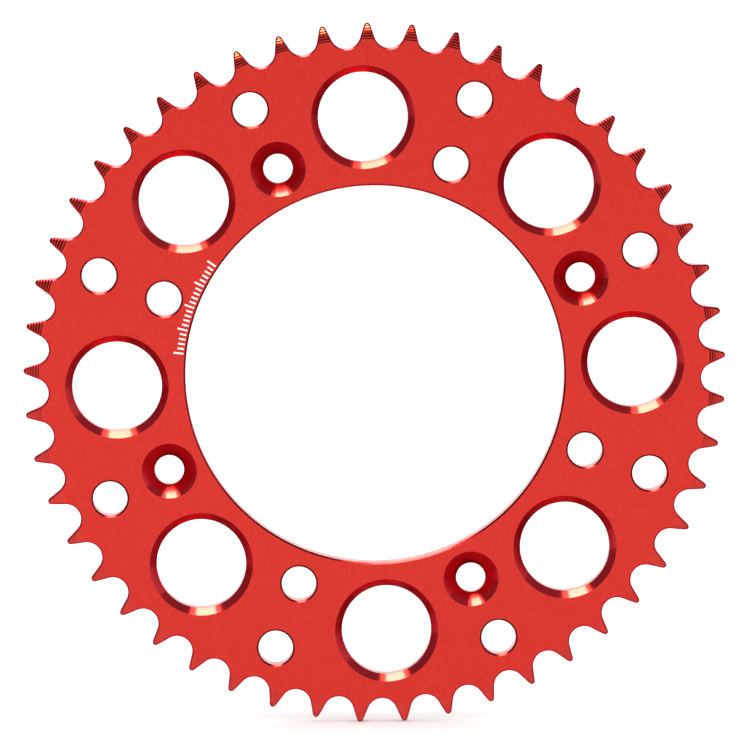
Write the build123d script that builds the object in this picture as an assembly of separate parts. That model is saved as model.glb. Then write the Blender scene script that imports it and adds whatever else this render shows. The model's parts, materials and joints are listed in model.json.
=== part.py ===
from build123d import *
import math
import os

# Rear chain sprocket, machined from one aluminium plate. Millimetres and degrees.
# The wheel's axis is Y and the origin is the middle of its bore, at half the plate's thickness.
# The countersunk front face looks towards -Y, and the flat mounting face towards +Y.
# Angles around the wheel start at +X and turn towards +Z.

# Chain and teeth
chain_pitch = 12.7
roller_diameter = 8.51
tooth_count = 49
seat_clearance = 0.18         # a tooth gap's seat radius, over the roller's radius
seat_half_angle = 67.5        # how far each side of a tooth gap's bottom the seat arc runs
tip_rise = 2.94               # tooth tip above the pitch circle

# Stepped relief turned on both sides of the teeth, so that the chain finds them
relief_steps = 6
relief_root_rise = 2.35       # where the relief starts, above the tooth root
first_step_drop = 0.16        # the first step down, along the axis
step_drop_growth = 0.07       # how much deeper each step is than the one before it
step_slope_width = 0.62       # the sloping part of each step, along the radius

# Plate
plate_thickness = 7.0
bore_diameter = 110.0
edge_chamfer = 0.5            # small 45 degree chamfer on the rims of the bore and the plain holes

# Bolt holes, countersunk from the front
bolt_hole_count = 4
bolt_hole_diameter = 8.5
countersink_diameter = 16.0
countersink_half_angle = 45.0
bolt_land = 3.0               # metal between the bore and a countersink
bolt_start_angle = 25.0

# Plain holes beside the bore, between the bolt holes
inner_hole_count = 4
inner_land = 5.0              # metal between the bore and an inner hole
inner_start_angle = 70.0

# Plain holes under the teeth
outer_hole_count = 8
outer_land = 4.855            # metal between a tooth gap's bottom and an outer hole
outer_start_angle = 25.0

# Both kinds of plain hole
small_hole_diameter = 10.0

# Large lightening holes, half way between the bore and the tooth gaps
pocket_count = 8
pocket_diameter = 26.0
pocket_chamfer = 2.0          # wide 45 degree chamfer on the front rim
pocket_start_angle = 2.5

# Derived
cut_overrun = 1.0             # how far a cutting body passes a face
half_thickness = plate_thickness / 2
bore_radius = bore_diameter / 2
tooth_angle = 360 / tooth_count
pitch_radius = chain_pitch / 2 / math.sin(math.radians(tooth_angle / 2))
root_radius = pitch_radius - roller_diameter / 2
tip_radius = pitch_radius + tip_rise
seat_radius = roller_diameter / 2 + seat_clearance
relief_start_radius = root_radius + relief_root_rise
bolt_circle_radius = bore_radius + bolt_land + countersink_diameter / 2
inner_circle_radius = bore_radius + inner_land + small_hole_diameter / 2
outer_circle_radius = root_radius - outer_land - small_hole_diameter / 2
pocket_circle_radius = (bore_radius + root_radius) / 2

# Drawings below are made in a plane whose normal is +Z, and stand_up turns that normal to -Y,
# with the drawing's Y becoming the wheel's +Z.
stand_up = Rotation(90, 0, 0)


def polar(radius, angle):
    """The point at this radius and angle, in the drawing plane."""
    return (radius * math.cos(math.radians(angle)), radius * math.sin(math.radians(angle)))


def evenly(count, start_angle):
    """The angles of a ring of evenly spaced features."""
    return [start_angle + index * 360 / count for index in range(count)]


def gap_point(across, out, gap_angle):
    """A point given beside and along the centre line of a tooth gap."""
    turn = math.radians(gap_angle)
    return (
        out * math.cos(turn) - across * math.sin(turn),
        out * math.sin(turn) + across * math.cos(turn),
    )


def nose_radius():
    """Radius of the round tooth nose that touches both straight flanks and reaches the tip."""
    half_gap = math.radians(tooth_angle / 2)
    seat_turn = math.radians(seat_half_angle)
    across = seat_radius * math.sin(seat_turn)
    out = root_radius + seat_radius - seat_radius * math.cos(seat_turn)
    flank_lean = math.pi / 2 - seat_turn - half_gap
    foot_height = out * math.cos(half_gap) + across * math.sin(half_gap)
    foot_half_width = out * math.sin(half_gap) - across * math.cos(half_gap)
    tip_half_width = foot_half_width - (tip_radius - foot_height) * math.tan(flank_lean)
    return tip_half_width * math.cos(flank_lean) / (1 - math.sin(flank_lean))


def tooth_outline():
    """The closed outline of all teeth: seat arc, straight flank, round nose, straight flank."""
    radius = nose_radius()
    flank_lean = 90 - seat_half_angle - tooth_angle / 2
    seat_across = seat_radius * math.sin(math.radians(seat_half_angle))
    seat_out = root_radius + seat_radius * (1 - math.cos(math.radians(seat_half_angle)))
    edges = []
    for index in range(tooth_count):
        tooth = bolt_start_angle + index * tooth_angle
        gap_before = tooth - tooth_angle / 2
        gap_after = tooth + tooth_angle / 2
        seat_start = gap_point(-seat_across, seat_out, gap_before)
        seat_end = gap_point(seat_across, seat_out, gap_before)
        edges.append(ThreePointArc(seat_start, polar(root_radius, gap_before), seat_end))
        nose_centre = Vector(*polar(tip_radius - radius, tooth))
        nose_start = nose_centre + Vector(*polar(radius, tooth - 90 + flank_lean))
        nose_end = nose_centre + Vector(*polar(radius, tooth + 90 - flank_lean))
        edges.append(Line(seat_end, nose_start))
        edges.append(ThreePointArc(nose_start, polar(tip_radius, tooth), nose_end))
        edges.append(Line(nose_end, gap_point(-seat_across, seat_out, gap_after)))
    return make_face(edges)


def relief_profile():
    """Half section of the disc that the teeth are cut in, stepped on both sides near its rim."""
    step_width = (tip_radius - relief_start_radius) / relief_steps
    height = half_thickness
    front = [(0, height)]
    for index in range(relief_steps):
        radius = relief_start_radius + index * step_width
        front.append((radius, height))
        height -= first_step_drop + index * step_drop_growth
        front.append((radius + step_slope_width, height))
    front.append((tip_radius + cut_overrun, height))
    back = [(radius, -height) for radius, height in reversed(front)]
    return Plane.XZ * make_face(Polyline(*front, *back, close=True))


def toothed_disc():
    """The plate with its teeth and their relief, before any hole."""
    blank = extrude(tooth_outline(), half_thickness, both=True)
    return blank & revolve(relief_profile(), Axis.Z)


def hole_cutter(diameter, front_rim, back_rim, front_half_angle=45.0):
    """A hole along Z with a cone at the front and one at the back, each given by its rim diameter."""
    radius = diameter / 2
    front_depth = (front_rim - diameter) / 2 / math.tan(math.radians(front_half_angle))
    back_depth = (back_rim - diameter) / 2
    front = half_thickness + cut_overrun
    front_flare = cut_overrun * math.tan(math.radians(front_half_angle))
    section = Polyline(
        (0, front),
        (front_rim / 2 + front_flare, front),
        (radius, half_thickness - front_depth),
        (radius, -half_thickness + back_depth),
        (back_rim / 2 + cut_overrun, -front),
        (0, -front),
        close=True,
    )
    return revolve(Plane.XZ * make_face(section), Axis.Z)


def ring_of(cutter, circle_radius, angles):
    """Copies of a cutter around the wheel."""
    return [Pos(*polar(circle_radius, angle)) * cutter for angle in angles]


def chamfered_hole(diameter, front_chamfer):
    """A plain hole with this 45 degree chamfer in front and the small one behind."""
    return hole_cutter(diameter, diameter + 2 * front_chamfer, diameter + 2 * edge_chamfer)


def sprocket_plate():
    """The whole sprocket, standing up in its own frame."""
    bolt_hole = hole_cutter(
        bolt_hole_diameter, countersink_diameter, bolt_hole_diameter, countersink_half_angle
    )
    small_hole = chamfered_hole(small_hole_diameter, edge_chamfer)
    pocket = chamfered_hole(pocket_diameter, pocket_chamfer)
    cutters = [chamfered_hole(bore_diameter, edge_chamfer)]
    cutters += ring_of(bolt_hole, bolt_circle_radius, evenly(bolt_hole_count, bolt_start_angle))
    cutters += ring_of(small_hole, inner_circle_radius, evenly(inner_hole_count, inner_start_angle))
    cutters += ring_of(small_hole, outer_circle_radius, evenly(outer_hole_count, outer_start_angle))
    cutters += ring_of(pocket, pocket_circle_radius, evenly(pocket_count, pocket_start_angle))
    return stand_up * (toothed_disc() - cutters)


os.makedirs("parts", exist_ok=True)
export_step(sprocket_plate(), "parts/sprocket_plate.step")
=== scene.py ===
import json
import math
import bmesh
import bpy
from mathutils import Matrix, Vector
from mathutils.geometry import delaunay_2d_cdt


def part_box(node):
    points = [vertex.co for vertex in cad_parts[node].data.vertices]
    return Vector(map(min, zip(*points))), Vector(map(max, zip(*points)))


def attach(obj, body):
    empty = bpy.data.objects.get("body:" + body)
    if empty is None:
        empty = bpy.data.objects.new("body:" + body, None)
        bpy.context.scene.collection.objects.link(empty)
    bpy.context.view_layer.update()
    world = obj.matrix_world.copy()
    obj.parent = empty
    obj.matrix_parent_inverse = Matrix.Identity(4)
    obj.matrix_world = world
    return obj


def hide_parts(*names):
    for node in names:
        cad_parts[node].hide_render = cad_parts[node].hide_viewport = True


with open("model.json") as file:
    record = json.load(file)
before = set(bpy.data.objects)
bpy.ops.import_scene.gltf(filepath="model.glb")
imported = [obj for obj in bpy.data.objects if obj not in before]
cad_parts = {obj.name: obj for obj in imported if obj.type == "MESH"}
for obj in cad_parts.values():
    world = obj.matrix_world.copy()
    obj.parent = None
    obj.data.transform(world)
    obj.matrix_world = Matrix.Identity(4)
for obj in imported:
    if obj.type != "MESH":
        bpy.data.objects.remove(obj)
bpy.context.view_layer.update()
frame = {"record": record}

# The visual sprocket: the CAD plate's shape with every edge finely rounded, true surface normals,
# a coordinate that follows each cut, and a material for each way that a surface was machined.
# Lengths of the sprocket are in millimetres and become metres when its mesh is written.
# The front face looks towards -Y. Angles start at +X and turn towards +Z.

METRES = 0.001
NODE = "sprocket_plate"


def stated_mount(name):
    """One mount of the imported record."""
    return next(mount for mount in frame["record"]["mounts"] if mount["name"] == name)


# Sizes that the frame states
plate_low, plate_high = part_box(NODE)
HALF_THICKNESS = (plate_high.y - plate_low.y) / 2 / METRES
BORE_RADIUS = stated_mount("bore")["dims"]["r_mm"]
BOLT_CIRCLE_RADIUS = stated_mount("bolts")["dims"]["pcd_mm"] / 2
BOLT_HOLE_RADIUS = stated_mount("bolts")["dims"]["hole_r_mm"]
BOLT_COUNT = stated_mount("bolts")["dims"]["count"]

# Chain and teeth
CHAIN_PITCH = 12.7
ROLLER_RADIUS = 4.255
TOOTH_COUNT = 49
SEAT_CLEARANCE = 0.18
SEAT_HALF_ANGLE = math.radians(67.5)
TIP_RISE = 2.94
RELIEF_STEPS = 6
RELIEF_ROOT_RISE = 2.35
FIRST_DROP = 0.16
DROP_GROWTH = 0.07
SLOPE_WIDTH = 0.62

# Holes
COUNTERSINK_RADIUS = 8.0
EDGE_CHAMFER = 0.5
POCKET_CHAMFER = 2.0
SMALL_HOLE_RADIUS = 5.0
POCKET_RADIUS = 13.0
INNER_LAND = 5.0
OUTER_LAND = 4.855
INNER_COUNT = 4
OUTER_COUNT = 8
POCKET_COUNT = 8
FIRST_BOLT = 25.0
FIRST_INNER = 70.0
FIRST_OUTER = 25.0
FIRST_POCKET = 2.5
BORE_SEGMENTS = 360
COUNTERSINK_SEGMENTS = 96
SMALL_HOLE_SEGMENTS = 72
POCKET_SEGMENTS = 144

# Fine shape of the machined edges
EDGE_BREAK = 0.42             # 45 degree break on the tooth outline's edges
EDGE_ROUND = 0.1              # rounding of that break's own two edges
RIM_ROUND = 0.07              # rounding of the edges of holes
STEP_BREAK = 0.03             # rounding of the relief steps, along the radius
STEP_CROWN = math.radians(8)  # how far the normal turns from each step's middle to its ends
NOSE_CAP = 0.12               # the relief's last row to the tip, inside the broken edge
BROAD_CUT = 1.0               # a chamfer wider than this is a turned cone, and others are edge breaks
FACE_RUN = 1.0                # how far a hole's section runs on along each face
STRAIGHT_WALL = 0.01          # a wall whose normals lean less than this is straight
WELD_DISTANCE = 0.002         # points nearer than this become one
SAME_PLACE = 1e-6             # the triangulation's own tolerance
HALVINGS = 50                 # steps of a search by halves

# Derived
TOOTH_TURN = 2 * math.pi / TOOTH_COUNT
HALF_GAP = TOOTH_TURN / 2
PITCH_RADIUS = CHAIN_PITCH / 2 / math.sin(HALF_GAP)
ROOT_RADIUS = PITCH_RADIUS - ROLLER_RADIUS
TIP_RADIUS = PITCH_RADIUS + TIP_RISE
SEAT_RADIUS = ROLLER_RADIUS + SEAT_CLEARANCE
EDGE_TANGENT = EDGE_ROUND * math.tan(math.pi / 8)
EDGE_INSET = EDGE_BREAK + EDGE_TANGENT
RELIEF_START = ROOT_RADIUS + RELIEF_ROOT_RISE
STEP_WIDTH = (TIP_RADIUS - RELIEF_START) / RELIEF_STEPS
INNER_CIRCLE_RADIUS = BORE_RADIUS + INNER_LAND + SMALL_HOLE_RADIUS
OUTER_CIRCLE_RADIUS = ROOT_RADIUS - OUTER_LAND - SMALL_HOLE_RADIUS
POCKET_CIRCLE_RADIUS = (BORE_RADIUS + ROOT_RADIUS) / 2

# How each surface was made, which is also its place in the material list
FACE, TURNED, BORED, RELIEF, FLANK, EDGE, RIM = range(7)


def area_normal(places):
    """The face normal of a loop of points, as long as the loop's area is large."""
    first = places[0]
    arms = [place - first for place in places[1:]]
    return sum((a.cross(b) for a, b in zip(arms, arms[1:])), Vector())


class Skin:
    """Collects points with exact normals, and faces, before they are welded into one mesh."""

    def __init__(self):
        self.bm = bmesh.new()
        self.normal = self.bm.verts.layers.float_vector.new("normal")
        self.flow = self.bm.loops.layers.uv.new("flow")

    def point(self, place, normal):
        vertex = self.bm.verts.new(place)
        vertex[self.normal] = Vector(normal).normalized()
        return vertex

    def face(self, corners, flow, kind):
        """A face on its normals' side, with one (along the cut, across the cut) pair for each corner."""
        middle = sum((corner[self.normal] for corner in corners), Vector())
        if area_normal([corner.co for corner in corners]).dot(middle) < 0:
            corners, flow = corners[::-1], flow[::-1]
        made = self.bm.faces.new(corners)
        made.material_index = kind
        made.smooth = True
        for loop, pair in zip(made.loops, flow):
            loop[self.flow].uv = pair

    def strip(self, ring_a, ring_b, along, across_a, across_b, kind, closed=False):
        """Quads between two rows of points. along gives each point's length along the rows."""
        count = len(ring_a)
        for i in range(count if closed else count - 1):
            j = (i + 1) % count
            corners = (ring_a[i], ring_a[j], ring_b[j], ring_b[i])
            flow = (
                (along[i], across_a),
                (along[i + 1], across_a),
                (along[i + 1], across_b),
                (along[i], across_b),
            )
            self.face(corners, flow, kind)

    def mesh(self, name, weld):
        """The welded mesh, in metres, with its exact normals."""
        bmesh.ops.remove_doubles(self.bm, verts=self.bm.verts, dist=weld)
        self.bm.verts.ensure_lookup_table()
        normals = [vertex[self.normal].copy() for vertex in self.bm.verts]
        self.bm.verts.layers.float_vector.remove(self.normal)
        bmesh.ops.scale(self.bm, vec=(METRES,) * 3, verts=self.bm.verts)
        mesh = bpy.data.meshes.new(name)
        self.bm.to_mesh(mesh)
        self.bm.free()
        mesh.normals_split_custom_set_from_vertices(normals)
        return mesh


def polar(radius, angle):
    """Point in the wheel's plane as (x, z)."""
    return radius * math.cos(angle), radius * math.sin(angle)


def evenly(count, first_degrees):
    """Angles of evenly spaced features, in radians."""
    return [math.radians(first_degrees) + index * 2 * math.pi / count for index in range(count)]


# ---------------------------------------------------------------- holes


def rounded_section(corners, radius):
    """A section through a hole wall, given as (distance from the hole's axis, depth) corners.

    Every inner corner becomes a small arc. The result lists (place, normal) samples from the first
    arc to the last. The metal is to the left of the way along, and the normals point to the right."""
    samples = []
    for before, corner, after in zip(corners, corners[1:], corners[2:]):
        before, corner, after = Vector(before), Vector(corner), Vector(after)
        way_in = (corner - before).normalized()
        way_out = (after - corner).normalized()
        turn = math.atan2(way_in.x * way_out.y - way_in.y * way_out.x, way_in.dot(way_out))
        tangent = radius * math.tan(abs(turn) / 2)
        start = corner - way_in * tangent
        normal_in = Vector((way_in.y, -way_in.x))
        side = 1 if turn > 0 else -1
        centre = start - normal_in * radius * side
        for part in (0.0, 0.5, 1.0):
            normal = normal_in.copy()
            normal.rotate(Matrix.Rotation(turn * part, 2))
            samples.append((centre + normal * radius * side, normal))
    return samples


def hole_section(radius, front_rim, back_rim):
    """Section of a hole with a 45 degree cone in front and one behind. Depth is the height along -Y."""
    corners = [
        (front_rim + FACE_RUN, HALF_THICKNESS),
        (front_rim, HALF_THICKNESS),
        (radius, HALF_THICKNESS - (front_rim - radius)),
    ]
    if back_rim > radius:
        corners.append((radius, -HALF_THICKNESS + back_rim - radius))
        corners.append((back_rim, -HALF_THICKNESS))
    else:
        corners.append((radius, -HALF_THICKNESS))
    corners.append((back_rim + FACE_RUN, -HALF_THICKNESS))
    return rounded_section(corners, RIM_ROUND)


def hole_ring(centre, distance, segments):
    """Points of a circle around a hole, as (x, z)."""
    turns = [index * 2 * math.pi / segments for index in range(segments)]
    return [(centre[0] + distance * math.cos(t), centre[1] + distance * math.sin(t)) for t in turns]


def add_hole(skin, centre, section, segments):
    """Lines one hole, and returns its rims in the front and the back face."""
    turns = [index * 2 * math.pi / segments for index in range(segments)]
    rings = []
    for sample, normal in section:
        ring = []
        for turn, (x, z) in zip(turns, hole_ring(centre, sample.x, segments)):
            out = Vector((math.cos(turn), 0, math.sin(turn)))
            ring.append(skin.point((x, -sample.y, z), out * normal.x + Vector((0, -normal.y, 0))))
        rings.append(ring)
    across = 0
    broad = max(abs(a.x - b.x) for (a, _), (b, _) in zip(section, section[1:])) > BROAD_CUT
    kind_of_rim = TURNED if broad else RIM
    for (a, normal_a), (b, normal_b), ring_a, ring_b in zip(section, section[1:], rings, rings[1:]):
        length = (b - a).length
        along = [a.x * index * 2 * math.pi / segments for index in range(segments + 1)]
        if max(abs(normal_a.y), abs(normal_b.y)) < STRAIGHT_WALL:
            kind = BORED
        else:
            kind = TURNED if abs(a.x - b.x) > BROAD_CUT else kind_of_rim
        skin.strip(ring_a, ring_b, along, across, across + length, kind, closed=True)
        across += length
    first, last = section[0][0].x, section[-1][0].x
    return hole_ring(centre, first, segments), hole_ring(centre, last, segments)


def hole_plan():
    """Every hole of the plate, as its centre, its section and its number of segments."""
    bore_rim = BORE_RADIUS + EDGE_CHAMFER
    small_rim = SMALL_HOLE_RADIUS + EDGE_CHAMFER
    bore = hole_section(BORE_RADIUS, bore_rim, bore_rim)
    bolt = hole_section(BOLT_HOLE_RADIUS, COUNTERSINK_RADIUS, BOLT_HOLE_RADIUS)
    small = hole_section(SMALL_HOLE_RADIUS, small_rim, small_rim)
    pocket = hole_section(POCKET_RADIUS, POCKET_RADIUS + POCKET_CHAMFER, POCKET_RADIUS + EDGE_CHAMFER)
    kinds = [
        (0.0, [0.0], bore, BORE_SEGMENTS),
        (BOLT_CIRCLE_RADIUS, evenly(BOLT_COUNT, FIRST_BOLT), bolt, COUNTERSINK_SEGMENTS),
        (INNER_CIRCLE_RADIUS, evenly(INNER_COUNT, FIRST_INNER), small, SMALL_HOLE_SEGMENTS),
        (OUTER_CIRCLE_RADIUS, evenly(OUTER_COUNT, FIRST_OUTER), small, SMALL_HOLE_SEGMENTS),
        (POCKET_CIRCLE_RADIUS, evenly(POCKET_COUNT, FIRST_POCKET), pocket, POCKET_SEGMENTS),
    ]
    return [
        (polar(circle_radius, angle), section, segments)
        for circle_radius, angles, section, segments in kinds
        for angle in angles
    ]


# ---------------------------------------------------------------- teeth

FLANK_LEAN = math.pi / 2 - SEAT_HALF_ANGLE - HALF_GAP
SEAT_ARM = (math.sin(HALF_GAP), math.cos(HALF_GAP))   # the gap's centre line, in the tooth's frame


def seat_way(turn):
    """Direction from the seat's centre, turned from the gap's bottom towards the tooth."""
    return Vector((
        -math.cos(turn) * SEAT_ARM[0] - math.sin(turn) * SEAT_ARM[1],
        -math.cos(turn) * SEAT_ARM[1] + math.sin(turn) * SEAT_ARM[0],
    ))


def nose_radius():
    """Radius of the round nose that touches both flanks and reaches the tip."""
    foot = Vector(SEAT_ARM) * (ROOT_RADIUS + SEAT_RADIUS) + seat_way(SEAT_HALF_ANGLE) * SEAT_RADIUS
    tip_half_width = foot.x - (TIP_RADIUS - foot.y) * math.tan(FLANK_LEAN)
    return tip_half_width * math.cos(FLANK_LEAN) / (1 - math.sin(FLANK_LEAN))


NOSE_RADIUS = nose_radius()


def half_tooth(stage, inset):
    """A point of half a tooth's outline and its normal, in the tooth's frame (across, out).

    stage runs 0 to 1 along the seat from the gap's bottom, 1 to 2 up the flank, 2 to 3 round the nose.
    The outline lies this inset inside the true one."""
    seat_centre = Vector(SEAT_ARM) * (ROOT_RADIUS + SEAT_RADIUS)
    nose_centre = Vector((0, TIP_RADIUS - NOSE_RADIUS))
    flank_normal = -seat_way(SEAT_HALF_ANGLE)
    if stage <= 1:
        way = seat_way(SEAT_HALF_ANGLE * stage)
        return seat_centre + way * (SEAT_RADIUS + inset), -way
    if stage <= 2:
        start = seat_centre - flank_normal * (SEAT_RADIUS + inset)
        end = nose_centre + flank_normal * (NOSE_RADIUS - inset)
        return start.lerp(end, stage - 1), flank_normal
    start_turn = math.atan2(flank_normal.x, flank_normal.y)
    turn = start_turn * (3 - stage)
    normal = Vector((math.sin(turn), math.cos(turn)))
    return nose_centre + normal * (NOSE_RADIUS - inset), normal


def stage_at(radius, inset):
    """The stage where the outline at this inset lies this far from the wheel's axis."""
    low, high = 0.0, 3.0
    for _ in range(HALVINGS):
        middle = (low + high) / 2
        if half_tooth(middle, inset)[0].length < radius:
            low = middle
        else:
            high = middle
    return (low + high) / 2


def relief_at(radius):
    """Height and slope of the stepped relief at this distance from the wheel's axis."""
    height = HALF_THICKNESS
    for index in range(RELIEF_STEPS):
        foot = RELIEF_START + index * STEP_WIDTH
        drop = FIRST_DROP + index * DROP_GROWTH
        if radius <= foot:
            break
        if radius < foot + SLOPE_WIDTH:
            return height - drop * (radius - foot) / SLOPE_WIDTH, math.atan2(drop, SLOPE_WIDTH)
        height -= drop
    return height, 0.0


def relief_rows():
    """Rows across a tooth's relief as (radius, height, slope): each step is a slope and a land."""
    last = TIP_RADIUS - EDGE_INSET - NOSE_CAP
    rows = [(RELIEF_START, HALF_THICKNESS, 0.0)]
    for index in range(RELIEF_STEPS):
        foot = RELIEF_START + index * STEP_WIDTH
        end = foot + SLOPE_WIDTH
        _, slope = relief_at(foot + SLOPE_WIDTH / 2)
        marks = [
            (foot + STEP_BREAK, slope - STEP_CROWN),
            (end - STEP_BREAK, slope + STEP_CROWN),
            (end + STEP_BREAK, 0.0),
        ]
        if index:
            marks.insert(0, (foot - STEP_BREAK, 0.0))
        rows += [(radius, relief_at(radius)[0], slope) for radius, slope in marks if radius < last]
    return rows + [(last, *relief_at(last))]


# Across the broken edge: inset from the outline, depth below the surface, and turn of the normal
EDGE_SECTION = (
    (EDGE_INSET, 0.0, 0.0),
    (EDGE_BREAK - EDGE_TANGENT / math.sqrt(2), EDGE_TANGENT / math.sqrt(2), math.pi / 4),
    (EDGE_TANGENT / math.sqrt(2), EDGE_BREAK - EDGE_TANGENT / math.sqrt(2), math.pi / 4),
    (0.0, EDGE_INSET, math.pi / 2),
)
WALL_QUAD = len(EDGE_SECTION) - 1
RELIEF_COLUMNS = 4
SEAT_SAMPLES = 14
NOSE_SAMPLES = 7


def outline_samples():
    """Samples of half a tooth as (stage, height, slope), from the gap's bottom to the tip."""
    start_stage = stage_at(RELIEF_START, EDGE_INSET)
    samples = [
        (start_stage * index / SEAT_SAMPLES, HALF_THICKNESS, 0.0) for index in range(SEAT_SAMPLES)
    ]
    rows = relief_rows()
    samples += [(stage_at(radius, EDGE_INSET), height, slope) for radius, height, slope in rows]
    last_stage = samples[-1][0]
    for index in range(1, NOSE_SAMPLES + 1):
        stage = last_stage + (3 - last_stage) * index / NOSE_SAMPLES
        samples.append((stage, *relief_at(half_tooth(stage, EDGE_INSET)[0].length)))
    return samples


def wheel_point(across, out, tooth_angle):
    """(x, z) of a point given in a tooth's frame."""
    c, s = math.cos(tooth_angle), math.sin(tooth_angle)
    return out * c - across * s, out * s + across * c


def outline_column(skin, sample, side, tooth_angle):
    """Points over the tooth wall's full width at one sample: front edge, wall, back edge."""
    stage, height, slope = sample
    radial = half_tooth(stage, EDGE_INSET)[0].normalized()
    column = []
    for face_side in (1, -1):
        edge = []
        for inset, depth, turn in EDGE_SECTION:
            place, normal = half_tooth(stage, inset)
            flat = normal * math.sin(turn) + radial * math.sin(slope) * math.cos(turn)
            upright = math.cos(turn) * math.cos(slope)
            x, z = wheel_point(place.x * side, place.y, tooth_angle)
            nx, nz = wheel_point(flat.x * side, flat.y, tooth_angle)
            lift = (height - depth) * face_side
            edge.append((skin.point((x, -lift, z), (nx, -upright * face_side, nz)), lift))
        column += edge[::face_side]
    return column


def add_half_tooth_wall(skin, samples, side, tooth_angle):
    """The edge and wall along half a tooth."""
    columns = [outline_column(skin, sample, side, tooth_angle) for sample in samples]
    places = [half_tooth(stage, 0.0)[0] for stage, _, _ in samples]
    along = [0.0]
    for a, b in zip(places, places[1:]):
        along.append(along[-1] + (b - a).length)
    for i in range(len(columns) - 1):
        for j in range(len(columns[i]) - 1):
            corners = [columns[i][j], columns[i + 1][j], columns[i + 1][j + 1], columns[i][j + 1]]
            steps = (along[i], along[i + 1], along[i + 1], along[i])
            flow = [(step, lift) for step, (_, lift) in zip(steps, corners)]
            skin.face([point for point, _ in corners], flow, FLANK if j == WALL_QUAD else EDGE)


def relief_row_places(radius):
    """Places across a tooth at one radius, between the rounded edges, in the tooth's frame."""
    edge = half_tooth(stage_at(radius, EDGE_INSET), EDGE_INSET)[0]
    spread = math.atan2(edge.x, edge.y)
    turns = [spread * (2 * index / RELIEF_COLUMNS - 1) for index in range(RELIEF_COLUMNS + 1)]
    return [(radius * math.sin(turn), radius * math.cos(turn), turn) for turn in turns]


def add_relief(skin, rows, row_places, samples, tooth_angle, face_side):
    """The stepped side of one tooth."""
    rings = []
    for (radius, height, slope), places in zip(rows, row_places):
        ring = []
        for across, out, turn in places:
            x, z = wheel_point(across, out, tooth_angle)
            nx, nz = wheel_point(math.sin(turn), math.cos(turn), tooth_angle)
            tilt = math.sin(slope)
            normal = (nx * tilt, -math.cos(slope) * face_side, nz * tilt)
            ring.append(skin.point((x, -height * face_side, z), normal))
        rings.append(ring)
    for row, next_row, ring_a, ring_b, places in zip(rows, rows[1:], rings, rings[1:], row_places):
        along = [row[0] * turn for _, _, turn in places]
        flat = row[2] == next_row[2] == 0
        skin.strip(ring_a, ring_b, along, row[0], next_row[0], FACE if flat else RELIEF)
    nose = samples[-NOSE_SAMPLES:]
    cap = []
    for side, part in ((1, nose), (-1, nose[-2::-1])):
        for stage, height, slope in part:
            place = half_tooth(stage, EDGE_INSET)[0]
            tilt = place.normalized() * math.sin(slope)
            x, z = wheel_point(place.x * side, place.y, tooth_angle)
            nx, nz = wheel_point(tilt.x * side, tilt.y, tooth_angle)
            normal = (nx, -math.cos(slope) * face_side, nz)
            cap.append(skin.point((x, -height * face_side, z), normal))
    corners = rings[-1] + cap
    flow = [(corner.co.x, corner.co.z) for corner in corners]
    skin.face(corners, flow, RELIEF)


def add_teeth(skin):
    """All tooth walls and reliefs. Returns the outer edge of the flat faces as (x, z) points."""
    samples = outline_samples()
    rows = relief_rows()
    row_places = [relief_row_places(radius) for radius, _, _ in rows]
    seat = [half_tooth(stage, EDGE_INSET)[0] for stage, _, _ in samples[:SEAT_SAMPLES]]
    edge = []
    for index in range(TOOTH_COUNT):
        angle = math.radians(FIRST_BOLT) + index * TOOTH_TURN
        for side in (1, -1):
            add_half_tooth_wall(skin, samples, side, angle)
        for face_side in (1, -1):
            add_relief(skin, rows, row_places, samples, angle, face_side)
        edge += [wheel_point(-place.x, place.y, angle) for place in seat[1:]]
        edge += [wheel_point(across, out, angle) for across, out, _ in row_places[0]]
        edge += [wheel_point(place.x, place.y, angle) for place in seat[::-1]]
    return edge


# ---------------------------------------------------------------- flat faces


def loop_edges(start, count):
    """Index pairs of a closed loop of points."""
    return [(start + index, start + (index + 1) % count) for index in range(count)]


def in_a_tooth_gap(place):
    """True inside the seat circle of the nearest tooth gap."""
    gap = math.radians(FIRST_BOLT) + HALF_GAP
    nearest = gap + round((math.atan2(place[1], place[0]) - gap) / TOOTH_TURN) * TOOTH_TURN
    centre = polar(ROOT_RADIUS + SEAT_RADIUS, nearest)
    return math.dist(place, centre) < SEAT_RADIUS + EDGE_INSET


def add_flat_face(skin, edge, rims, face_side):
    """One flat face between the teeth and the holes. rims lists (centre, radius, points)."""
    places = list(edge)
    edges = loop_edges(0, len(edge))
    for _, _, points in rims:
        edges += loop_edges(len(places), len(points))
        places += points
    flat = [Vector(place) for place in places]
    made, _, triangles, *_ = delaunay_2d_cdt(flat, edges, [], 0, SAME_PLACE)
    corners = [skin.point((x, -HALF_THICKNESS * face_side, z), (0, -face_side, 0)) for x, z in made]
    for triangle in triangles:
        middle = sum((made[index] for index in triangle), Vector((0, 0))) / 3
        if in_a_tooth_gap(middle):
            continue
        if any(math.dist(middle, centre) < radius for centre, radius, _ in rims):
            continue
        flow = [tuple(made[index]) for index in triangle]
        skin.face([corners[index] for index in triangle], flow, FACE)


def make_plate():
    """The whole sprocket as one closed mesh."""
    skin = Skin()
    edge = add_teeth(skin)
    front_rims = []
    back_rims = []
    for centre, section, segments in hole_plan():
        front, back = add_hole(skin, centre, section, segments)
        front_rims.append((centre, section[0][0].x, front))
        back_rims.append((centre, section[-1][0].x, back))
    add_flat_face(skin, edge, front_rims, 1)
    add_flat_face(skin, edge, back_rims, -1)
    loose = [vertex for vertex in skin.bm.verts if not vertex.link_faces]
    bmesh.ops.delete(skin.bm, geom=loose, context="VERTS")
    plate = bpy.data.objects.new("sprocket", skin.mesh("sprocket", WELD_DISTANCE))
    bpy.context.scene.collection.objects.link(plate)
    return plate


# ---------------------------------------------------------------- etched index scale

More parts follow.
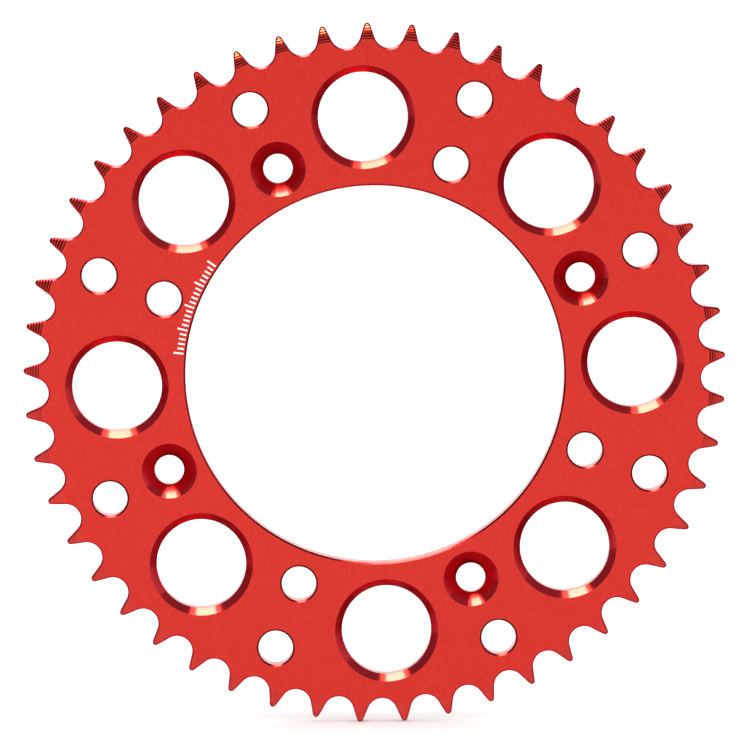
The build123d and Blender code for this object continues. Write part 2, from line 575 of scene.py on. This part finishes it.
TICK_COUNT = 21
TICK_FIRST = 145.5
TICK_TURN = 1.4
TICK_WIDTH = 0.5
TICK_INNER_RADIUS = 55.9
TICK_LENGTH = 1.9
LONG_TICK_LENGTH = 2.9
TICKS_PER_LONG = 5
MARK_PROUD = 0.006


def make_scale():
    """Plain radial ticks beside the bore, with a longer one at regular places."""
    bm = bmesh.new()
    for index in range(TICK_COUNT):
        angle = math.radians(TICK_FIRST + index * TICK_TURN)
        length = TICK_LENGTH if index % TICKS_PER_LONG else LONG_TICK_LENGTH
        x, z = polar(TICK_INNER_RADIUS + length / 2, angle)
        place = Matrix.Translation((x, -HALF_THICKNESS, z)) @ Matrix.Rotation(-angle, 4, "Y")
        size = Matrix.Diagonal((length, 2 * MARK_PROUD, TICK_WIDTH, 1))
        bmesh.ops.create_cube(bm, size=1, matrix=Matrix.Scale(METRES, 4) @ place @ size)
    mesh = bpy.data.meshes.new("index_scale")
    bm.to_mesh(mesh)
    bm.free()
    scale = bpy.data.objects.new("index_scale", mesh)
    bpy.context.scene.collection.objects.link(scale)
    return scale


# ---------------------------------------------------------------- materials


def new_node(tree, kind, inputs=(), **settings):
    """A node with these settings. Each input is a plain value, or a socket to link."""
    made = tree.nodes.new(kind)
    for key, value in settings.items():
        setattr(made, key, value)
    for key, value in dict(inputs).items():
        if isinstance(value, bpy.types.NodeSocket):
            tree.links.new(value, made.inputs[key])
        else:
            made.inputs[key].default_value = value
    return made


class Shader:
    """A material with one Principled shader, and short ways to add nodes to it."""

    def __init__(self, name):
        self.material = bpy.data.materials.new(name)
        self.material.use_nodes = True
        self.tree = self.material.node_tree
        self.surface = self.tree.nodes["Principled BSDF"]

    def node(self, kind, inputs=(), **settings):
        return new_node(self.tree, kind, inputs, **settings)

    def set(self, **values):
        """Plain numbers and colours on the shader's own sockets."""
        for key, value in values.items():
            self.surface.inputs[key.replace("_", " ")].default_value = value

    def link(self, socket, name):
        self.tree.links.new(socket, self.surface.inputs[name])

    def noise(self, coordinates, scale, detail=2.0, stretch=(1, 1, 1)):
        """Noise with this many features for each unit of the coordinates."""
        mapping = self.node("ShaderNodeMapping", {"Vector": coordinates, "Scale": stretch})
        inputs = {"Vector": mapping.outputs[0], "Scale": scale, "Detail": detail}
        return self.node("ShaderNodeTexNoise", inputs).outputs["Fac"]

    def spread(self, factor, low, high):
        """The noise's usual range, from a third to two thirds, spread from low to high."""
        inputs = {"Value": factor, "From Min": 0.33, "From Max": 0.67, "To Min": low, "To Max": high}
        return self.node("ShaderNodeMapRange", inputs).outputs[0]

    def blend(self, factor, first, second):
        """A colour from first to second, by the factor."""
        made = self.node("ShaderNodeMix", data_type="RGBA")
        self.tree.links.new(factor, made.inputs[0])
        for index, colour in ((6, first), (7, second)):
            made.inputs[index].default_value = (*colour, 1)
        return made.outputs[2]

    def bump(self, height, distance, strength, below=None):
        """A normal that follows this height, on top of the normal below."""
        inputs = {"Height": height, "Distance": distance, "Strength": strength}
        if below is not None:
            inputs["Normal"] = below
        return self.node("ShaderNodeBump", inputs).outputs[0]

    def cloudy_colour(self, cloud, colours):
        """A base colour that wanders between two shades."""
        self.link(self.blend(self.spread(cloud, 0, 1), *colours), "Base Color")

    def object_place(self):
        """Coordinates in metres."""
        return self.node("ShaderNodeTexCoord").outputs["Object"]

    def flow_place(self):
        """Coordinates in millimetres, along the cut and across it."""
        return self.node("ShaderNodeUVMap", uv_map="flow").outputs[0]

    def run_round(self):
        """Turns the anisotropic highlight with the cut."""
        tangent = self.node("ShaderNodeTangent", direction_type="UV_MAP", uv_map="flow")
        self.link(tangent.outputs[0], "Tangent")


# The two shades that each surface wanders between
FACE_COLOURS = ((0.67, 0.031, 0.025), (0.81, 0.050, 0.035))
CUT_COLOURS = ((0.49, 0.016, 0.028), (0.57, 0.020, 0.034))
# painted shade: rim shades far darker than the face, for the dark rings round the holes
RIM_SHADE_COLOURS = ((0.26, 0.005, 0.012), (0.34, 0.008, 0.016))
# painted shade: edge shades a deeper, darker red than the face, for the dark tooth outlines
EDGE_SHADE_COLOURS = ((0.60, 0.005, 0.026), (0.72, 0.008, 0.034))
ETCHED_COLOURS = ((0.86, 0.66, 0.63), (0.95, 0.84, 0.82))
FLOOR_COLOURS = ((0.90, 0.90, 0.90), (0.91, 0.91, 0.91))
EDGE_GRAZE = (0.25, 0.01, 0.03)      # dark tint of rims and edges seen edge on: painted shade for their dark outlines

# Features per metre
GRAIN = 2600
MOTTLE = 1600
PORES = 5200
CUT_CLOUD = 240
EDGE_CLOUD = 900
ETCHED_SPECKLE = 6000
FLOOR_CLOUD = 30

# Along the cut and across it: features per millimetre, and how far each texture is drawn out
CHATTER = 1.1
CHATTER_STRETCH = (1, 0.06, 1)
LINE_STRETCH = (0.004, 1, 1)


def face_finish():
    """Anodised rolled plate: satin, with a fine grain that runs along Z and a slight mottle."""
    shader = Shader("anodised_face")
    place = shader.object_place()
    grain = shader.noise(place, GRAIN, 2, (1, 1, 0.3))
    mottle = shader.noise(place, MOTTLE, 3, (1, 1, 0.7))
    total = shader.node("ShaderNodeMath", {0: grain, 1: mottle}, operation="ADD")
    mean = shader.node("ShaderNodeMath", {0: total.outputs[0], 1: 0.5}, operation="MULTIPLY")
    shader.cloudy_colour(mean.outputs[0], FACE_COLOURS)
    shader.link(shader.spread(grain, 0.36, 0.44), "Roughness")
    pores = shader.noise(place, PORES, 2)
    lines = shader.bump(grain, 0.00002, 0.3)
    shader.link(shader.bump(pores, 0.00001, 0.3, lines), "Normal")
    shader.set(Metallic=1.0, Coat_Weight=0.1, Coat_Roughness=0.25)
    return shader.material


def cut_finish(name, colours, roughness, line_spacing, line_depth, chatter_depth=0.0, coat=0.2):
    """A surface cut by a turning tool: fine lines along the cut and faint chatter across it.

    Spacing and depths are in millimetres."""
    shader = Shader(name)
    flow = shader.flow_place()
    cloud = shader.noise(shader.object_place(), CUT_CLOUD, 2)
    shader.cloudy_colour(cloud, colours)
    shader.link(shader.spread(cloud, roughness - 0.02, roughness + 0.02), "Roughness")
    lines = shader.noise(flow, 1 / line_spacing, 1, LINE_STRETCH)
    normal = shader.bump(lines, line_depth * METRES, 0.5)
    if chatter_depth:
        chatter = shader.noise(flow, CHATTER, 2, CHATTER_STRETCH)
        normal = shader.bump(chatter, chatter_depth * METRES, 0.5, normal)
    shader.link(normal, "Normal")
    shader.set(Metallic=1.0, Anisotropic=0.6, Anisotropic_Rotation=0.25)
    shader.set(Coat_Weight=coat, Coat_Roughness=0.1, Coat_IOR=1.6)
    shader.run_round()
    return shader.material


def edge_finish(name, colours, coat):
    """Deburred edges and hole rims, in a deeper, darker red than the face and with a dark tint edge on:
    painted shade for the dark outlines and the dark rings round the holes.
    """
    shader = Shader(name)
    cloud = shader.noise(shader.object_place(), EDGE_CLOUD, 2)
    shader.cloudy_colour(cloud, colours)
    shader.link(shader.spread(cloud, 0.16, 0.22), "Roughness")
    shader.set(Metallic=1.0, Coat_Weight=coat, Coat_Roughness=0.08, Coat_IOR=1.6)
    shader.set(Specular_Tint=(*EDGE_GRAZE, 1))
    return shader.material


def etched_finish():
    """Bleached, slightly rough lines in the anodising."""
    shader = Shader("etched_mark")
    speckle = shader.noise(shader.object_place(), ETCHED_SPECKLE, 2)
    shader.cloudy_colour(speckle, ETCHED_COLOURS)
    shader.link(shader.bump(speckle, 0.00001, 0.4), "Normal")
    shader.set(Roughness=0.6)
    return shader.material


def floor_finish():
    """A matt, nearly even pale grey."""
    shader = Shader("pale_floor")
    cloud = shader.noise(shader.object_place(), FLOOR_CLOUD, 2)
    shader.cloudy_colour(cloud, FLOOR_COLOURS)
    shader.set(Roughness=0.9)
    return shader.material


# ---------------------------------------------------------------- studio

FLOOR_SIZE = 24.0
STRIP_PLACE = (-0.13, -0.10, 0.60)
STRIP_GAP = 0.002             # between the strip's bright core and the dim fringe above it
STRIP_DEPTH = 0.17
STRIP_COLOUR = (1.0, 1.0, 0.48)
CORE_WIDTH = 0.31
CORE_LEVEL = 30               # where 1 is white, as for the other lights
FRINGE_WIDTH = 0.50
FRINGE_LEVEL = 4
PANEL_PLACE = (0.0, -0.90, -0.10)
PANEL_TARGET = (0.0, 0.0, -0.10)
PANEL_WIDTH = 0.80
PANEL_HEIGHT = 0.32
PANEL_LEVEL = 0.78


def make_floor():
    """A large floor at the lowest tooth, left out of glossy reflections."""
    bm = bmesh.new()
    bmesh.ops.create_grid(bm, x_segments=8, y_segments=8, size=FLOOR_SIZE / 2)
    mesh = bpy.data.meshes.new("floor")
    bm.to_mesh(mesh)
    bm.free()
    floor = bpy.data.objects.new("floor", mesh)
    floor.location.z = plate_low.z
    floor.data.materials.append(floor_finish())
    floor.visible_glossy = False
    bpy.context.scene.collection.objects.link(floor)


def area_light(name, place, target, width, height, level, colour=(1, 1, 1)):
    """A rectangular softbox that the camera doesn't see. A level of 1 is white."""
    data = bpy.data.lights.new(name, "AREA")
    data.shape = "RECTANGLE"
    data.size, data.size_y = width, height
    data.energy = level * math.pi * width * height
    data.color = colour
    lamp = bpy.data.objects.new(name, data)
    lamp.location = place
    lamp.rotation_mode = "QUATERNION"
    lamp.rotation_quaternion = (Vector(target) - Vector(place)).to_track_quat("-Z", "Y")
    lamp.visible_camera = False
    bpy.context.scene.collection.objects.link(lamp)
    return lamp


def make_lights():
    """A strip softbox overhead, seen only in gloss, and a small soft panel in front of the face."""
    strips = (
        ("strip_core", CORE_WIDTH, CORE_LEVEL, 0.0),
        ("strip_fringe", FRINGE_WIDTH, FRINGE_LEVEL, STRIP_GAP),
    )
    for name, width, level, lift in strips:
        place = Vector(STRIP_PLACE) + Vector((0, 0, lift))
        below = place - Vector((0, 0, 1))
        strip = area_light(name, place, below, width, STRIP_DEPTH, level, STRIP_COLOUR)
        strip.visible_diffuse = False
    area_light("front_panel", PANEL_PLACE, PANEL_TARGET, PANEL_WIDTH, PANEL_HEIGHT, PANEL_LEVEL)


# Brightness of the surround, by direction, where 1 is white
WORLD_ON_FLOOR = 1.65         # what the floor receives
WORLD_IN_PLANE = 0.42         # around the wheel's plane
WORLD_IN_FRONT = 0.85         # straight in front
WORLD_BEHIND = 1.6            # the white backdrop, straight behind
WORLD_FLOOR_FRONT = 0.84      # the pale floor, seen in front of the wheel and behind it
WORLD_DARK = 0.13             # the dark room above
WORLD_ON_RIGHT = 0.75         # the pale wall to the right
WORLD_CARD = 0.52             # what each pale card adds
WORLD_LEAN = 0.05             # how much the surround changes from left to right
WORLD_BELOW = -0.45           # how fast it brightens below, around the wheel's plane

# Where its parts begin and end, along one axis of the direction
FLOOR_TO_DARK = (-0.30, -0.02)
TO_RIGHT_WALL = (0.74, 0.88)
PLANE_TO_ROOM = (0.10, 0.35)
TO_STRAIGHT = (0.90, 0.97)

# Middle and half width of the cards' bands
CARD_DEPTHS = (-0.13, 0.13)
HIGH_CARD = (0.22, 0.30)
LOW_CARD = (-0.28, 0.20)


class WorldNodes:
    """Short ways to add maths to the world's nodes."""

    def __init__(self, tree):
        self.tree = tree

    def add(self, kind, inputs=(), **settings):
        return new_node(self.tree, kind, inputs, **settings).outputs[0]

    def maths(self, operation, *values):
        return self.add("ShaderNodeMath", dict(enumerate(values)), operation=operation)

    def rise(self, value, low, high):
        """0 below low, 1 above high, and smooth between."""
        inputs = {"Value": value, "From Min": low, "From Max": high}
        return self.add("ShaderNodeMapRange", inputs, interpolation_type="SMOOTHSTEP")

    def mix(self, factor, first, second):
        """From first to second, by the factor."""
        gap = self.maths("SUBTRACT", second, first)
        return self.maths("MULTIPLY_ADD", factor, gap, first)


def make_world():
    """Studio surround: white for the camera and the floor, and shaped for reflections."""
    world = bpy.data.worlds.new("studio")
    world.use_nodes = True
    bpy.context.scene.world = world
    nodes = WorldNodes(world.node_tree)
    way = world.node_tree.nodes.new("ShaderNodeTexCoord").outputs["Generated"]
    split = world.node_tree.nodes.new("ShaderNodeSeparateXYZ")
    world.node_tree.links.new(way, split.inputs[0])
    x, y, z = split.outputs
    depth = nodes.maths("ABSOLUTE", y)

    # In front and behind: pale below, dark above, a pale wall far right and white straight on
    height = nodes.maths("MULTIPLY_ADD", x, WORLD_LEAN, z)
    room = nodes.mix(nodes.rise(height, *FLOOR_TO_DARK), WORLD_FLOOR_FRONT, WORLD_DARK)
    room = nodes.mix(nodes.rise(x, *TO_RIGHT_WALL), room, WORLD_ON_RIGHT)
    plane = nodes.maths("MULTIPLY_ADD", x, WORLD_LEAN, WORLD_IN_PLANE)
    plane = nodes.maths("MULTIPLY_ADD", nodes.maths("MINIMUM", z, 0.0), WORLD_BELOW, plane)
    studio = nodes.mix(nodes.rise(depth, *PLANE_TO_ROOM), plane, room)
    straight = nodes.mix(nodes.maths("GREATER_THAN", y, 0.0), WORLD_IN_FRONT, WORLD_BEHIND)
    studio = nodes.mix(nodes.rise(depth, *TO_STRAIGHT), studio, straight)

    # Pale cards just in front of the wheel's plane: high on the right, low on the left
    near = nodes.maths("COMPARE", y, *CARD_DEPTHS)
    high = nodes.maths("COMPARE", z, *HIGH_CARD)
    right = nodes.maths("MULTIPLY", nodes.maths("GREATER_THAN", x, 0.0), high)
    low = nodes.maths("COMPARE", z, *LOW_CARD)
    left = nodes.maths("MULTIPLY", nodes.maths("LESS_THAN", x, 0.0), low)
    cards = nodes.maths("MULTIPLY", near, nodes.maths("ADD", right, left))
    studio = nodes.maths("MULTIPLY_ADD", cards, WORLD_CARD, studio)

    path = world.node_tree.nodes.new("ShaderNodeLightPath")
    on_floor = nodes.maths("MULTIPLY", path.outputs["Is Diffuse Ray"], WORLD_ON_FLOOR)
    paper = nodes.maths("MAXIMUM", path.outputs["Is Camera Ray"], on_floor)
    background = world.node_tree.nodes["Background"]
    background.inputs["Color"].default_value = (1, 1, 1, 1)
    world.node_tree.links.new(nodes.maths("MAXIMUM", paper, studio), background.inputs["Strength"])


CAMERA_DISTANCE = 1.9
CAMERA_ELEVATION = math.radians(5.5)
CAMERA_AZIMUTH = math.radians(-1.0)
CAMERA_ROLL = math.radians(-0.13)
VIEW_WIDTH = 0.2181           # width of the view at the plate
VIEW_CENTRE = Vector((0.00009, 0, -0.00042))


def make_camera():
    """Almost straight at the front face, from slightly above and slightly to the left."""
    data = bpy.data.cameras.new("camera")
    data.lens = data.sensor_width * CAMERA_DISTANCE / VIEW_WIDTH
    data.clip_start = 0.05
    data.clip_end = 60
    camera = bpy.data.objects.new("camera", data)
    back = Vector((
        math.sin(CAMERA_AZIMUTH) * math.cos(CAMERA_ELEVATION),
        -math.cos(CAMERA_AZIMUTH) * math.cos(CAMERA_ELEVATION),
        math.sin(CAMERA_ELEVATION),
    ))
    camera.location = VIEW_CENTRE + back * CAMERA_DISTANCE
    aim = (-back).to_track_quat("-Z", "Y").to_matrix() @ Matrix.Rotation(CAMERA_ROLL, 3, "Z")
    camera.rotation_mode = "QUATERNION"
    camera.rotation_quaternion = aim.to_quaternion()
    bpy.context.scene.collection.objects.link(camera)
    bpy.context.scene.camera = camera


# ---------------------------------------------------------------- the scene

plate = make_plate()
for finish in (
    face_finish(),
    cut_finish("anodised_chamfer", CUT_COLOURS, 0.17, 0.16, line_depth=0.002, chatter_depth=0.004),
    cut_finish("anodised_bore", CUT_COLOURS, 0.24, 0.25, line_depth=0.003),
    cut_finish("anodised_relief", FACE_COLOURS, 0.12, 0.12, line_depth=0.001, coat=0.3),
    cut_finish("anodised_flank", CUT_COLOURS, 0.22, 0.30, line_depth=0.002),
    edge_finish("anodised_edge", EDGE_SHADE_COLOURS, coat=0.2),
    edge_finish("anodised_rim", RIM_SHADE_COLOURS, coat=0.1),
):
    plate.data.materials.append(finish)
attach(plate, "root")
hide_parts(NODE)

scale_marks = make_scale()
scale_marks.data.materials.append(etched_finish())
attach(scale_marks, "root")

bpy.context.scene.view_settings.view_transform = "Standard"
make_floor()
make_lights()
make_world()
make_camera()
